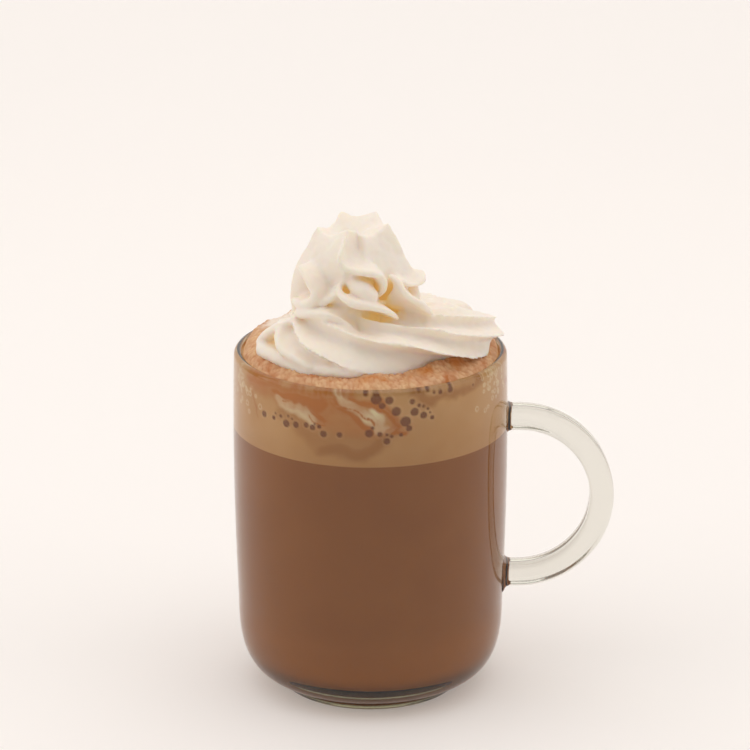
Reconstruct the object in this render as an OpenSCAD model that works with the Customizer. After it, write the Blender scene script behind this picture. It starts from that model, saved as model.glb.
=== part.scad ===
// Hot chocolate in a clear glass mug, under a milk foam and a piped swirl of whipped cream.
// Millimetres, +Z up. The origin is the centre of the flat foot that the mug stands on,
// and the handle points along +X.

/* [Glass mug] */
// Height of the mug from the table to the top of its rim
mug_h = 103.4; // [101:0.2:108]
// Outer radius of the mug at its rim
rim_r = 40; // [38:0.5:42]
// How far the side bulges out past the rim, halfway up
belly = 0.5; // [0:0.1:1.5]
// Thickness of the glass wall
wall = 2.8; // [2.2:0.1:3.6]
// Thickness of the glass floor, foot included
floor_t = 8; // [7:0.5:11]
// Height at which the straight side starts to curve in to the foot
shoulder_z = 27; // [24:0.5:30]
// Radius of the waist between the side and the foot
waist_r = 25; // [23:0.5:26]
// Radius of the foot
foot_r = 27; // [26.5:0.1:28]
// Height of the waist above the table
waist_z = 4.2; // [3.5:0.1:5]

/* [Handle] */
// Height of the middle of the handle
handle_z = 57.6; // [55:0.2:60]
// Radius of the handle's ring, along the middle of its bar
handle_r = 24.7; // [23:0.1:26]
// How far the middle of the ring lies outside the rim
handle_out = 4; // [3.4:0.2:6]
// Thickness of the bar, across the ring
bar_t = 7; // [6:0.2:9]
// Depth of the bar, along the ring's axis
bar_w = 7.6; // [7:0.2:11]
// Radius of the bar's rounded edges
bar_edge = 1.6; // [1:0.1:2.6]

/* [Drink] */
// Height of the surface where the drink meets its foam
drink_z = 80.3; // [60:0.5:90]
// How far the foam stands above the rim, at its highest
foam_rise = 3.4; // [2:0.2:5]
// Lean of the foam's top, higher at the back
foam_lean = 1.4; // [0:0.1:2.5]

/* [Whipped cream] */
// Height of the cream's peak above the table
peak_z = 143.5; // [135:0.5:155]
// Outer radius of the lower ring of cream
ring_outer = 33; // [30:0.5:34]
// Ridges that the star nozzle leaves around the rope of cream
ridges = 7; // [5:1:9]
// Depth of the grooves between the ridges, as a share of the rope's radius
groove = 0.24; // [0.1:0.02:0.32]

/* [Hidden] */
$fn = 96;

// Mug side: a shallow arc of revolution, widest at belly_z, then a superellipse in to the waist.
belly_z = 0.68 * mug_h;
lip = wall / 2;
corner_power = 2.9;
inner_flat_r = 15;
inner_power = 2.3;
side_steps = 10;
corner_steps = 12;
lip_steps = 8;

function side_r(z) = rim_r + belly * (1 - pow((z - belly_z) / (mug_h - belly_z), 2));
function corner(r0, z0, r1, z1, power) = [
    for (i = [0 : corner_steps])
        let (a = 90 * i / corner_steps)
            [r1 + (r0 - r1) * pow(cos(a), 2 / power), z0 - (z0 - z1) * pow(sin(a), 2 / power)]
];
function side(inset, z_top) = [
    for (i = [0 : side_steps - 1])
        let (z = z_top + (shoulder_z - z_top) * i / side_steps) [side_r(z) - inset, z]
];
function rim_arc() = [
    for (i = [0 : lip_steps])
        let (a = 180 - 180 * i / lip_steps)
            [side_r(mug_h) - lip + lip * cos(a), mug_h - lip + lip * sin(a)]
];
foot_edge = 1.3;
function foot_arc() = [
    for (i = [0 : lip_steps])
        let (a = 90 - 180 * i / lip_steps)
            [foot_r - foot_edge + foot_edge * cos(a), foot_edge * (1 + sin(a))]
];

// Handle: each end flares where it is fused to the side.
handle_x = rim_r + handle_out;
flare = 1.6;
flare_from = rim_r - wall / 2;
flare_t = handle_out + wall / 2;

// Foam: a rolled ring inside the rim, around a flat bed for the cream.
foam_gap = 0.4;
roll_w = 2.8;
roll_r = side_r(mug_h) - wall - foam_gap - roll_w;
bed_r = roll_r - roll_w;
bed_z = mug_h + 0.8;
roll_foot = 4;
roll_steps = 16;

// Cream: one closed skin around a leaning axis. Its outline runs from the bed over the lower ring,
// in at the waist, out over the upper coil and in to the peak, as [radius, height] in turn.
waist_cream_z = bed_z + 14.6;
upper_h = peak_z - waist_cream_z;
outline = [
    [bed_r - 1, bed_z], [ring_outer - 1.2, bed_z + 2], [ring_outer, bed_z + 6],
    [ring_outer - 3.5, bed_z + 10.2], [ring_outer - 9.5, bed_z + 13], [19.6, waist_cream_z],
    [20.8, waist_cream_z + 0.17 * upper_h], [20.2, waist_cream_z + 0.38 * upper_h],
    [17.6, waist_cream_z + 0.6 * upper_h], [13.6, waist_cream_z + 0.8 * upper_h],
    [7.6, waist_cream_z + 0.95 * upper_h], [0.4, peak_z]
];
// How far the axis of the upper coil lies off the mug's, away from the handle.
coil_shift = -3.6;
// The tongue of the lower ring that reaches out over the foam beside the handle.
tongue = 5;
tongue_width = 26;
tongue_z = bed_z + 6.6;
tongue_tall = 2.4;
// The ridges run round as a screw of this many starts. With this many columns and rows,
// each ridge follows the diagonals of the skin's squares.
turns = 5;
cream_cols = 50;
cream_rows = ridges * cream_cols / turns;

// Half the mug's section that is filled, out to a given inset from the outer side.
module cavity_shape(z_top) {
    polygon(concat(
        [[0, z_top]],
        side(wall, z_top),
        corner(side_r(shoulder_z) - wall, shoulder_z, inner_flat_r, floor_t, inner_power),
        [[0, floor_t]]
    ));
}

module mug_shape() {
    polygon(concat(
        [[0, mug_h - lip]],
        rim_arc(),
        [for (i = [1 : side_steps - 1]) side(0, mug_h - lip)[i]],
        corner(side_r(shoulder_z), shoulder_z, waist_r, waist_z, corner_power),
        foot_arc(),
        [[0, 0]]
    ));
}

// The bar's section: a rectangle with round edges, its middle at the origin.
module bar_section(across, deep, edge) {
    square([across - 2 * edge, deep], center = true);
    square([across, deep - 2 * edge], center = true);
    for (sx = [-1, 1], sy = [-1, 1])
        translate([sx * (across / 2 - edge), sy * (deep / 2 - edge)]) circle(r = edge);
}

// The fused end of the bar: its section grows by the flare on every side, down to the wall.
module flared_end() {
    corners = [for (q = [[-1, -1], [1, -1], [1, 1], [-1, 1]]) [q[0] * bar_w / 2, q[1] * bar_t / 2]];
    points = concat(
        [for (c = corners) [0, c[0] * (1 + 2 * flare / bar_w), c[1] * (1 + 2 * flare / bar_t)]],
        [for (c = corners) [flare_t, c[0] * (1 - bar_edge / bar_w), c[1] * (1 - bar_edge / bar_t)]]
    );
    polyhedron(points = points, faces = [
        [3, 2, 1, 0], [4, 5, 6, 7],
        for (k = [0 : 3]) let (m = (k + 1) % 4) [k, m, m + 4, k + 4]
    ]);
}

module handle() {
    translate([handle_x, 0, handle_z]) rotate([90, 0, 0])
        rotate_extrude(angle = 180, start = -90)
            translate([handle_r, 0]) bar_section(bar_t, bar_w, bar_edge);
    for (s = [-1, 1]) translate([flare_from, 0, handle_z + s * handle_r]) {
        rotate([90, 0, 90]) linear_extrude(handle_x - flare_from)
            bar_section(bar_w, bar_t, bar_edge);
        flared_end();
    }
}

module glass_mug() {
    color([0.86, 0.9, 0.88, 0.4]) difference() {
        union() {
            rotate_extrude() mug_shape();
            handle();
        }
        rotate_extrude() cavity_shape(mug_h - lip);
        translate([0, 0, mug_h - lip - 1]) cylinder(r = side_r(mug_h) - wall, h = lip + 2);
    }
}

module hot_chocolate() {
    color([0.47, 0.32, 0.21]) rotate_extrude() cavity_shape(drink_z);
}

// The roll of foam that stands above the rim, highest at the back.
module foam_roll() {
    translate([0, 0, mug_h]) rotate([foam_lean, 0, 0]) rotate_extrude() polygon(concat(
        [[roll_r - roll_w, -roll_foot]],
        [for (i = [0 : roll_steps])
            let (a = 180 - 180 * i / roll_steps) [roll_r + roll_w * cos(a), foam_rise * sin(a)]],
        [[roll_r + roll_w, -roll_foot]]
    ));
}

module milk_foam() {
    color([0.72, 0.5, 0.33]) union() {
        difference() {
            rotate_extrude() cavity_shape(mug_h - lip);
            translate([0, 0, -1]) cylinder(r = rim_r + 2, h = drink_z + 1);
        }
        translate([0, 0, drink_z + 1]) cylinder(r = bed_r + roll_w / 2, h = bed_z - drink_z - 1);
        foam_roll();
    }
}

// A smooth curve through a list of points, at u from 0 to 1.
function spline(pts, u) =
    let (n = len(pts) - 1, i = max(min(floor(u * n), n - 1), 0), t = u * n - i)
        let (a = pts[max(i - 1, 0)], b = pts[i], c = pts[i + 1], d = pts[min(i + 2, n)])
            0.5 * (2 * b + (c - a) * t + (2 * a - 5 * b + 4 * c - d) * t * t
                + (3 * b - a - 3 * c + d) * t * t * t);
function bump(x, width) = exp(-pow(x / width, 2));
function rise(x, lo, hi) =
    let (t = min(max((x - lo) / (hi - lo), 0), 1)) t * t * (3 - 2 * t);

// Ridges run round as a screw of several starts: crisp crests, soft grooves, none at either end.
function groove_at(u, a) =
    groove * abs(sin(180 * (ridges * u + turns * a / 360))) * rise(u, 0, 0.12) * rise(1 - u, 0, 0.2);
function cream_point(u, a) =
    let (p = spline(outline, u), q = spline(outline, u + 0.01) - spline(outline, u - 0.01))
        let (out = [q[1], -q[0]] / norm(q), d = groove_at(u, a) * min(p[0], 17))
            let (r = p[0] - out[0] * d + tongue * bump(a - 360 * round(a / 360), tongue_width)
                    * bump(p[1] - tongue_z, tongue_tall))
                [r * cos(a) + coil_shift * rise(p[1], bed_z + 8, waist_cream_z + 4), r * sin(a),
                    p[1] - out[1] * d];

module whipped_cream() {
    n = cream_cols;
    skin = [for (j = [0 : cream_rows], k = [0 : n - 1]) cream_point(j / cream_rows, 360 * k / n)];
    sides = [
        for (j = [0 : cream_rows - 1], k = [0 : n - 1])
            let (m = (k + 1) % n, low = j * n, high = low + n)
                each [[low + k, high + k, low + m], [low + m, high + k, high + m]]
    ];
    base = [[for (k = [0 : n - 1]) k]];
    tip = [[for (k = [n - 1 : -1 : 0]) cream_rows * n + k]];
    color([0.98, 0.96, 0.9]) polyhedron(points = skin, faces = concat(base, sides, tip));
}

glass_mug();
hot_chocolate();
milk_foam();
whipped_cream();
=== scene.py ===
"""Hot chocolate in a clear glass mug, under milk foam and a piped swirl of whipped cream."""

import logging
import math
import random
from collections.abc import Sequence
from dataclasses import dataclass, replace
from enum import Enum

import bmesh
import bpy
import numpy as np
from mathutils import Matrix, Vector, noise
from mathutils.bvhtree import BVHTree


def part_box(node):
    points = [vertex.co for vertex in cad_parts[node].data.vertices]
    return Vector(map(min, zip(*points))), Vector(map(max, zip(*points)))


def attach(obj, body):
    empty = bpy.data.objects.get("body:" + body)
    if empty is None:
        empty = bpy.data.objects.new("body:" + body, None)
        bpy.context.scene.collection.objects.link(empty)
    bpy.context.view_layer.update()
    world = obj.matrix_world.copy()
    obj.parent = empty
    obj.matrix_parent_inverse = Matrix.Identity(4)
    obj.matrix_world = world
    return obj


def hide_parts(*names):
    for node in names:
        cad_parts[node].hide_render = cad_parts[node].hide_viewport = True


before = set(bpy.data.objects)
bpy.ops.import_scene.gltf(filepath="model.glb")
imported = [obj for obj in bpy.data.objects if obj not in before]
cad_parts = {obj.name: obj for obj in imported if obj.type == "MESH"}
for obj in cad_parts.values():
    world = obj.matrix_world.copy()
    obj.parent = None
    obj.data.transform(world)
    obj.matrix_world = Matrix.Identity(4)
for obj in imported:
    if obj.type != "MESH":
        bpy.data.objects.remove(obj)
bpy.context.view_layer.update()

MM = 0.001
Point = tuple[float, float, float]
log = logging.getLogger("hot_chocolate")


# ---------------------------------------------------------------- shared helpers


def linear(colour: str) -> tuple[float, float, float, float]:
    """Turn an sRGB hex colour into linear light.

    Args:
        colour: Six hex digits, such as "ffffff".

    Returns:
        Linear red, green, blue and an alpha of 1.
    """
    parts = [int(colour[i : i + 2], 16) / 255 for i in (0, 2, 4)]
    red, green, blue = (p / 12.92 if p <= 0.04045 else ((p + 0.055) / 1.055) ** 2.4 for p in parts)
    return (red, green, blue, 1.0)


def add_node(
    tree: bpy.types.NodeTree,
    kind: str,
    inputs: dict | None = None,
    stops: Sequence[tuple[float, str]] = (),
    **settings: object,
) -> bpy.types.Node:
    """Add one node with its settings and links.

    Args:
        tree: Node tree that gets the node.
        kind: Blender's name for the node type.
        inputs: Socket name or index to a plain value or to the output that feeds it.
        stops: Place and sRGB hex colour of each stop, on a colour ramp.
        settings: Attributes of the node itself.

    Returns:
        The new node.
    """
    node = tree.nodes.new(kind)
    for name, value in settings.items():
        setattr(node, name, value)
    for socket, value in (inputs or {}).items():
        if isinstance(value, bpy.types.NodeSocket):
            tree.links.new(value, node.inputs[socket])
        else:
            node.inputs[socket].default_value = value
    if stops:
        ramp = node.color_ramp
        while len(ramp.elements) < len(stops):
            ramp.elements.new(0.5)
        for element, (place, colour) in zip(ramp.elements, stops):
            element.position = place
            element.color = linear(colour)
    return node


def new_material(name: str) -> tuple[bpy.types.Material, bpy.types.NodeTree, bpy.types.Node]:
    """Start a material.

    Args:
        name: Name of the real stuff.

    Returns:
        The material, its node tree and its empty output node.
    """
    material = bpy.data.materials.new(name)
    material.use_nodes = True
    tree = material.node_tree
    tree.nodes.clear()
    return material, tree, add_node(tree, "ShaderNodeOutputMaterial")


def start_edit() -> bmesh.types.BMesh:
    """Open the active object in edit mode with all of it selected.

    Returns:
        The object's edit mesh.
    """
    bpy.ops.object.mode_set(mode="EDIT")
    bpy.ops.mesh.select_all(action="SELECT")
    return bmesh.from_edit_mesh(bpy.context.object.data)


def add_loop(name: str, points: Sequence[Point], closed: bool = True) -> bpy.types.Object:
    """Add a circle primitive and set its points, as the first outline of a piece.

    Args:
        name: Name of the new object.
        points: The outline, in metres.
        closed: Whether the last point joins the first.

    Returns:
        The new object, active and selected alone.
    """
    bpy.ops.object.select_all(action="DESELECT")
    bpy.ops.mesh.primitive_circle_add(vertices=len(points), radius=MM, fill_type="NOTHING")
    piece = bpy.context.object
    piece.name = piece.data.name = name
    piece.data.vertices.foreach_set("co", np.asarray(points, dtype=np.float32).ravel())
    if not closed:
        edges = start_edit().edges
        edges.ensure_lookup_table()
        ends = {0, len(points) - 1}
        closing = [e for e in edges if {v.index for v in e.verts} == ends]
        bmesh.ops.delete(bmesh.from_edit_mesh(piece.data), geom=closing, context="EDGES_FACES")
        bpy.ops.object.mode_set(mode="OBJECT")
    return piece


def lathe(name: str, outline: Sequence[tuple[float, float]], steps: int) -> bpy.types.Object:
    """Spin an outline once round the Z axis into a closed piece.

    Args:
        name: Name of the new object.
        outline: Radius and height of each point, in metres, from the axis to the axis.
        steps: Number of steps of the turn.

    Returns:
        The new object, with its normals outwards.
    """
    piece = add_loop(name, [(r, 0.0, z) for r, z in outline], closed=False)
    start_edit()
    bpy.ops.mesh.spin(steps=steps, angle=math.tau, center=(0, 0, 0), axis=(0, 0, 1))
    close_seams()
    return piece


def close_seams(gap: float = 0.002 * MM) -> None:
    """Merge what meets on the piece that is being edited, turn its faces outwards and leave edit mode.

    Args:
        gap: Points closer than this are merged.
    """
    bpy.ops.mesh.select_all(action="SELECT")
    bpy.ops.mesh.remove_doubles(threshold=gap)
    bpy.ops.mesh.normals_make_consistent(inside=False)
    bpy.ops.object.mode_set(mode="OBJECT")


def loft(name: str, rings: Sequence[Sequence[Point]]) -> bpy.types.Object:
    """Extrude a loop through a row of rings and close both ends.

    Args:
        name: Name of the new object.
        rings: Loops of equal length, in metres.

    Returns:
        The new closed object.
    """
    piece = add_loop(name, rings[0])
    start_edit()
    bpy.ops.mesh.edge_face_add()
    bpy.ops.mesh.select_all(action="SELECT")
    for ring in rings[1:]:
        bpy.ops.mesh.extrude_region_move()
        edit = bmesh.from_edit_mesh(piece.data)
        moved = [v for v in edit.verts if v.select]
        for vertex, place in zip(moved, ring):
            vertex.co = place
    bmesh.update_edit_mesh(piece.data)
    close_seams(0.0)
    return piece


def apply_modifier(piece: bpy.types.Object, kind: str, **settings: object) -> None:
    """Add one modifier to a piece and apply it.

    Args:
        piece: The object to change.
        kind: Blender's name for the modifier.
        settings: Attributes of the modifier.
    """
    bpy.ops.object.select_all(action="DESELECT")
    piece.select_set(True)
    bpy.context.view_layer.objects.active = piece
    modifier = piece.modifiers.new(kind.title(), kind)
    for name, value in settings.items():
        setattr(modifier, name, value)
    bpy.ops.object.modifier_apply(modifier=modifier.name)


def join(name: str, pieces: Sequence[bpy.types.Object]) -> bpy.types.Object:
    """Join objects into one.

    Args:
        name: Name of the result.
        pieces: The objects, of which the first takes in the others.

    Returns:
        The joined object, active and selected alone.
    """
    bpy.ops.object.select_all(action="DESELECT")
    for piece in pieces:
        piece.select_set(True)
    bpy.context.view_layer.objects.active = pieces[0]
    bpy.ops.object.join()
    pieces[0].name = pieces[0].data.name = name
    return pieces[0]


def smooth(piece: bpy.types.Object, degrees: float) -> None:
    """Shade a piece smooth.

    Args:
        piece: The object to shade.
        degrees: Edges that bend more than this stay sharp.
    """
    bpy.ops.object.select_all(action="DESELECT")
    piece.select_set(True)
    bpy.context.view_layer.objects.active = piece
    bpy.ops.object.shade_smooth_by_angle(angle=math.radians(degrees))


def dress(piece: bpy.types.Object, material: bpy.types.Material) -> None:
    """Give a piece one material in place of any it has."""
    piece.data.materials.clear()
    piece.data.materials.append(material)


def points_of(piece: bpy.types.Object) -> np.ndarray:
    """Read where a piece's vertices are.

    Args:
        piece: The object to read.

    Returns:
        One row of x, y, z in metres for each vertex.
    """
    flat = np.empty(len(piece.data.vertices) * 3, dtype=np.float32)
    piece.data.vertices.foreach_get("co", flat)
    return flat.reshape(-1, 3).astype(np.float64)


def normals_of(piece: bpy.types.Object) -> np.ndarray:
    """Read which way a piece's surface faces.

    Args:
        piece: The object to read.

    Returns:
        One unit row pointing outwards for each vertex.
    """
    flat = np.empty(len(piece.data.vertices) * 3, dtype=np.float32)
    piece.data.vertices.foreach_get("normal", flat)
    return flat.reshape(-1, 3).astype(np.float64)


class Neighbours:
    """Which points of a piece an edge joins."""

    def __init__(self, piece: bpy.types.Object) -> None:
        """Read the piece's edges.

        Args:
            piece: The object to read.
        """
        ends = np.empty(len(piece.data.edges) * 2, dtype=np.int64)
        piece.data.edges.foreach_get("vertices", ends)
        self.start, self.end = ends[0::2], ends[1::2]
        self.count = len(piece.data.vertices)
        joined = np.bincount(self.start, minlength=self.count)
        self.joined = np.maximum(joined + np.bincount(self.end, minlength=self.count), 1)

    def mean(self, rows: np.ndarray) -> np.ndarray:
        """Average over each point's neighbours.

        Args:
            rows: One row of numbers for each point.

        Returns:
            The mean of its neighbours' rows for each point.
        """
        total = np.empty_like(rows)
        for k in range(rows.shape[1]):
            there = np.bincount(self.start, rows[self.end, k], self.count)
            total[:, k] = there + np.bincount(self.end, rows[self.start, k], self.count)
        return total / self.joined[:, None]


def place_points(piece: bpy.types.Object, places: np.ndarray) -> None:
    """Move a piece's vertices to an array of rows x, y, z in metres."""
    piece.data.vertices.foreach_set("co", places.astype(np.float32).ravel())
    piece.data.update()


def curve_through(points: np.ndarray, count: int) -> np.ndarray:
    """Sample a smooth curve through a few rows of numbers.

    Args:
        points: The rows that the curve passes through.
        count: How many samples to return.

    Returns:
        The samples, evenly spaced between the rows.
    """
    rows = np.asarray(points, dtype=float)
    last = len(rows) - 1
    at = np.linspace(0, last, count)
    i = np.minimum(at.astype(int), last - 1)
    t = (at - i)[:, None]
    a, b, c, d = rows[np.maximum(i - 1, 0)], rows[i], rows[i + 1], rows[np.minimum(i + 2, last)]
    return 0.5 * (
        2 * b + (c - a) * t + (2 * a - 5 * b + 4 * c - d) * t**2 + (3 * b - a - 3 * c + d) * t**3
    )


def ease(value: np.ndarray | float, low: float, high: float) -> np.ndarray | float:
    """Rise smoothly from 0 to 1.

    Args:
        value: One number or an array of them.
        low: The value that gives 0, as every value on its far side does.
        high: The value that gives 1, as every value on its far side does.

    Returns:
        The eased value, like the one given.
    """
    t = np.clip((value - low) / (high - low), 0.0, 1.0)
    return t * t * (3 - 2 * t)


def turn_from(angle: np.ndarray | float, start: float) -> np.ndarray | float:
    """Return how many degrees round an angle is from a start, from -180 to 180."""
    return (angle - start + 180) % 360 - 180


def wander(places: np.ndarray, length: float, seed: int) -> np.ndarray:
    """Return smooth seeded noise, about -1 to 1, at each point.

    Args:
        places: Points in metres.
        length: Size of its waves in millimetres.
        seed: Picks one noise.

    Returns:
        One value for each point.
    """
    shift = Vector((13.7 * seed, 5.1 * seed, 9.3 * seed))
    spots = places / (length * MM)
    return np.array([noise.noise(Vector(spot) + shift) for spot in spots]) * 1.6


def store(piece: bpy.types.Object, name: str, values: np.ndarray) -> None:
    """Store one value for each of a piece's points under a name."""
    layer = piece.data.attributes.new(name, "FLOAT", "POINT")
    layer.data.foreach_set("value", values.astype(np.float32))


# ---------------------------------------------------------------- finishes


@dataclass(frozen=True)
class SodaLimeGlass:
    """Pressed soda-lime glass: clear and wet-looking, grey-green where it is thick."""

    ior: float = 1.52
    sheen: float = 0.1
    tint: str = "d0cdb6"
    lamp_tint: str = "f2f2ec"
    depth_density: float = 62.0
    wave_mm: float = 14.0
    wave_depth_mm: float = 0.12

    def build(self) -> bpy.types.Material:
        """Make the glass.

        Returns:
            Clear glass with a slow wave in its surface and a tint through its depth.
        """
        # Clear glass gives sharp bright lines at its edges, and grey-green where it is thick.
        material, tree, output = new_material("soda_lime_glass")
        place = add_node(tree, "ShaderNodeTexCoord").outputs["Object"]
        wave = add_node(
            tree, "ShaderNodeTexNoise", {"Vector": place, "Scale": 1 / (self.wave_mm * MM), "Detail": 1.0}
        )
        bump = add_node(
            tree,
            "ShaderNodeBump",
            {"Height": wave.outputs[0], "Strength": 0.25, "Distance": self.wave_depth_mm * MM},
        )
        shader = add_node(
            tree,
            "ShaderNodeBsdfPrincipled",
            {
                "Base Color": (1, 1, 1, 1),
                "Roughness": 0.0,
                "IOR": self.ior,
                "Specular IOR Level": self.sheen,
                "Transmission Weight": 1.0,
                "Normal": bump.outputs[0],
            },
        )
        # Lamps shine straight through, as they do in a glass this thin.
        open_to_lamps = add_node(tree, "ShaderNodeBsdfTransparent", {"Color": linear(self.lamp_tint)})
        ray = add_node(tree, "ShaderNodeLightPath")
        surface = add_node(
            tree,
            "ShaderNodeMixShader",
            {0: ray.outputs["Is Shadow Ray"], 1: shader.outputs[0], 2: open_to_lamps.outputs[0]},
        )
        depth = add_node(
            tree, "ShaderNodeVolumeAbsorption", {"Color": linear(self.tint), "Density": self.depth_density}
        )
        tree.links.new(surface.outputs[0], output.inputs["Surface"])
        tree.links.new(depth.outputs[0], output.inputs["Volume"])
        return material


@dataclass(frozen=True)
class MilkChocolateDrink:
    """Cocoa stirred into milk: opaque, even brown with a slow cloudiness."""

    brown: str = "9f6023"
    cloud: str = "a66729"
    # Painted bounce light: the lighter brown near the floor.
    deep: str = "c57a36"
    cloud_mm: float = 26.0
    bounce_light_share: float = 0.3

    def build(self, low: float, high: float) -> bpy.types.Material:
        """Return the drink's material.

        Args:
            low: Height of the floor of the drink, in metres.
            high: Height of its surface.

        Returns:
            A brown that is a little lighter near the floor, where bounce light is painted in, with faint
            clouds.
        """
        # Cocoa in milk gives an even matt brown, with clouds so slow that they only just show.
        material, tree, output = new_material("milk_chocolate_drink")
        place = add_node(tree, "ShaderNodeTexCoord").outputs["Object"]
        clouds = add_node(
            tree,
            "ShaderNodeTexNoise",
            {"Vector": place, "Scale": 1 / (self.cloud_mm * MM), "Detail": 3.0, "Distortion": 0.6},
        )
        body = add_node(
            tree,
            "ShaderNodeValToRGB",
            {0: clouds.outputs[0]},
            stops=[(0.3, self.brown), (0.7, self.cloud)],
        )
        # Painted bounce light from the paper: the brown turns to the lighter "deep" colour near the floor.
        height = add_node(tree, "ShaderNodeSeparateXYZ", {0: place}).outputs[2]
        painted_bounce_mask = add_node(
            tree,
            "ShaderNodeMapRange",
            {0: height, 1: low, 2: low + self.bounce_light_share * (high - low), 3: 1.0, 4: 0.0},
            interpolation_type="SMOOTHSTEP",
        )
        colour = add_node(
            tree,
            "ShaderNodeMix",
            {0: painted_bounce_mask.outputs[0], 6: body.outputs[0], 7: linear(self.deep)},
            data_type="RGBA",
        )
        shader = add_node(
            tree,
            "ShaderNodeBsdfPrincipled",
            {"Base Color": colour.outputs[2], "Roughness": 0.6, "Specular IOR Level": 0.0},
        )
        tree.links.new(shader.outputs[0], output.inputs["Surface"])
        return material


@dataclass(frozen=True)
class CocoaMilkFoam:
    """Milk foam: tan behind the glass, orange-tan froth on top, with cocoa and cream drawn through it."""

    tan: str = "d59f60"
    pale: str = "ddac72"
    low_tan: str = "b87a36"
    froth: str = "dcae86"
    froth_pale: str = "e6bf90"
    froth_rust: str = "bd7440"
    cocoa: str = "c87418"
    cream: str = "fff0c8"
    bubble: str = "7c3e10"
    patch: str = "f7eadb"
    soft_mm: float = 15.0
    fine_mm: float = 2.2
    mottle_mm: float = 6.5
    near_drink_mm: float = 9.0
    grain_depth_mm: float = 0.2

    def build(self, low: float, high: float) -> bpy.types.Material:
        """Return the foam's material, which reads what MilkFoam stores on its points.

        Args:
            low: Height where the foam meets the drink, in metres.
            high: Height of the mug's rim; not used.

        Returns:
            Tan foam with cocoa, cream, bubbles and a froth that differs from what the glass holds.
        """
        # Milk foam gives a dull tan with orange, cream and dark rings, and a rough froth on top.
        material, tree, output = new_material("cocoa_milk_foam")
        place = add_node(tree, "ShaderNodeTexCoord").outputs["Object"]
        height = add_node(tree, "ShaderNodeSeparateXYZ", {0: place}).outputs[2]
        soft = add_node(
            tree, "ShaderNodeTexNoise", {"Vector": place, "Scale": 1 / (self.soft_mm * MM), "Detail": 2.0}
        )
        side = add_node(
            tree, "ShaderNodeValToRGB", {0: soft.outputs[0]}, stops=[(0.35, self.tan), (0.65, self.pale)]
        ).outputs[0]
        near_drink = add_node(
            tree,
            "ShaderNodeMapRange",
            {0: height, 1: low, 2: low + self.near_drink_mm * MM, 3: 0.2, 4: 0.0},
            interpolation_type="SMOOTHSTEP",
        ).outputs[0]
        side = self.blend(tree, near_drink, side, linear(self.low_tan))
        fine = add_node(
            tree,
            "ShaderNodeTexNoise",
            {"Vector": place, "Scale": 1 / (self.fine_mm * MM), "Detail": 5.0, "Roughness": 0.65},
        ).outputs[0]
        mottle = add_node(
            tree,
            "ShaderNodeTexNoise",
            {"Vector": place, "Scale": 1 / (self.mottle_mm * MM), "Detail": 4.0, "Distortion": 0.8},
        ).outputs[0]
        froth = add_node(
            tree,
            "ShaderNodeValToRGB",
            {0: mottle},
            stops=[(0.3, self.froth_rust), (0.45, self.froth), (0.75, self.froth_pale)],
        ).outputs[0]
        speck = add_node(
            tree, "ShaderNodeMapRange", {0: fine, 1: 0.54, 2: 0.68, 3: 0.0, 4: 0.45}
        ).outputs[0]
        froth = self.blend(tree, speck, froth, linear(self.froth_rust))
        pit = add_node(
            tree,
            "ShaderNodeMapRange",
            {0: self.stored(tree, "pit"), 1: 0.4, 2: 0.95, 3: 0.0, 4: 0.62},
        ).outputs[0]
        froth = self.blend(tree, pit, froth, linear(self.froth_rust))
        colour = self.blend(tree, self.stored(tree, "froth"), side, froth)
        # What is stirred in: its stored name, its colour, and how ragged the fine grain makes its edge. The
        # cream layer also carries painted highlights round the bubbles.
        for name, tint, ragged in (
            ("shade", self.low_tan, 0.1),
            ("cream", self.cream, 0.35),
            ("cocoa", self.cocoa, 0.5),
            ("patch", self.patch, 0.15),
            ("bubble", self.bubble, 0.05),
        ):
            edge = add_node(
                tree,
                "ShaderNodeMath",
                {0: fine, 1: ragged, 2: -0.5 * ragged},
                operation="MULTIPLY_ADD",
            ).outputs[0]
            stored = self.stored(tree, name)
            level = add_node(tree, "ShaderNodeMath", {0: stored, 1: edge}, operation="ADD").outputs[0]
            there = add_node(
                tree, "ShaderNodeMath", {0: stored, 1: 8.0}, operation="MULTIPLY", use_clamp=True
            ).outputs[0]
            share = add_node(
                tree, "ShaderNodeMapRange", {0: level, 1: 0.04, 2: 0.85, 3: 0.0, 4: 0.95}
            ).outputs[0]
            share = add_node(
                tree, "ShaderNodeMath", {0: share, 1: there}, operation="MULTIPLY"
            ).outputs[0]
            colour = self.blend(tree, share, colour, linear(tint))
        bump = add_node(
            tree,
            "ShaderNodeBump",
            {"Height": fine, "Strength": 0.35, "Distance": self.grain_depth_mm * MM},
        )
        shader = add_node(
            tree,
            "ShaderNodeBsdfPrincipled",
            {
                "Base Color": colour,
                "Roughness": 0.45,
                "Specular IOR Level": 0.15,
                "Normal": bump.outputs[0],
            },
        )
        tree.links.new(shader.outputs[0], output.inputs["Surface"])
        return material

    @staticmethod
    def stored(tree: bpy.types.NodeTree, name: str) -> bpy.types.NodeSocket:
        """Return the output that carries one stored value of the points."""
        return add_node(tree, "ShaderNodeAttribute", attribute_name=name).outputs["Fac"]

    @staticmethod
    def blend(
        tree: bpy.types.NodeTree,
        share: bpy.types.NodeSocket,
        under: bpy.types.NodeSocket,
        over: object,
    ) -> bpy.types.NodeSocket:
        """Lay one colour over another.

        Args:
            tree: Node tree of the material.
            share: How much of the upper colour shows, from 0 to 1.
            under: Output of the lower colour.
            over: The upper colour, or the output that gives it.

        Returns:
            The output of the mixed colour.
        """
        node = add_node(tree, "ShaderNodeMix", {0: share, 6: under, 7: over}, data_type="RGBA")
        return node.outputs[2]


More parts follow.
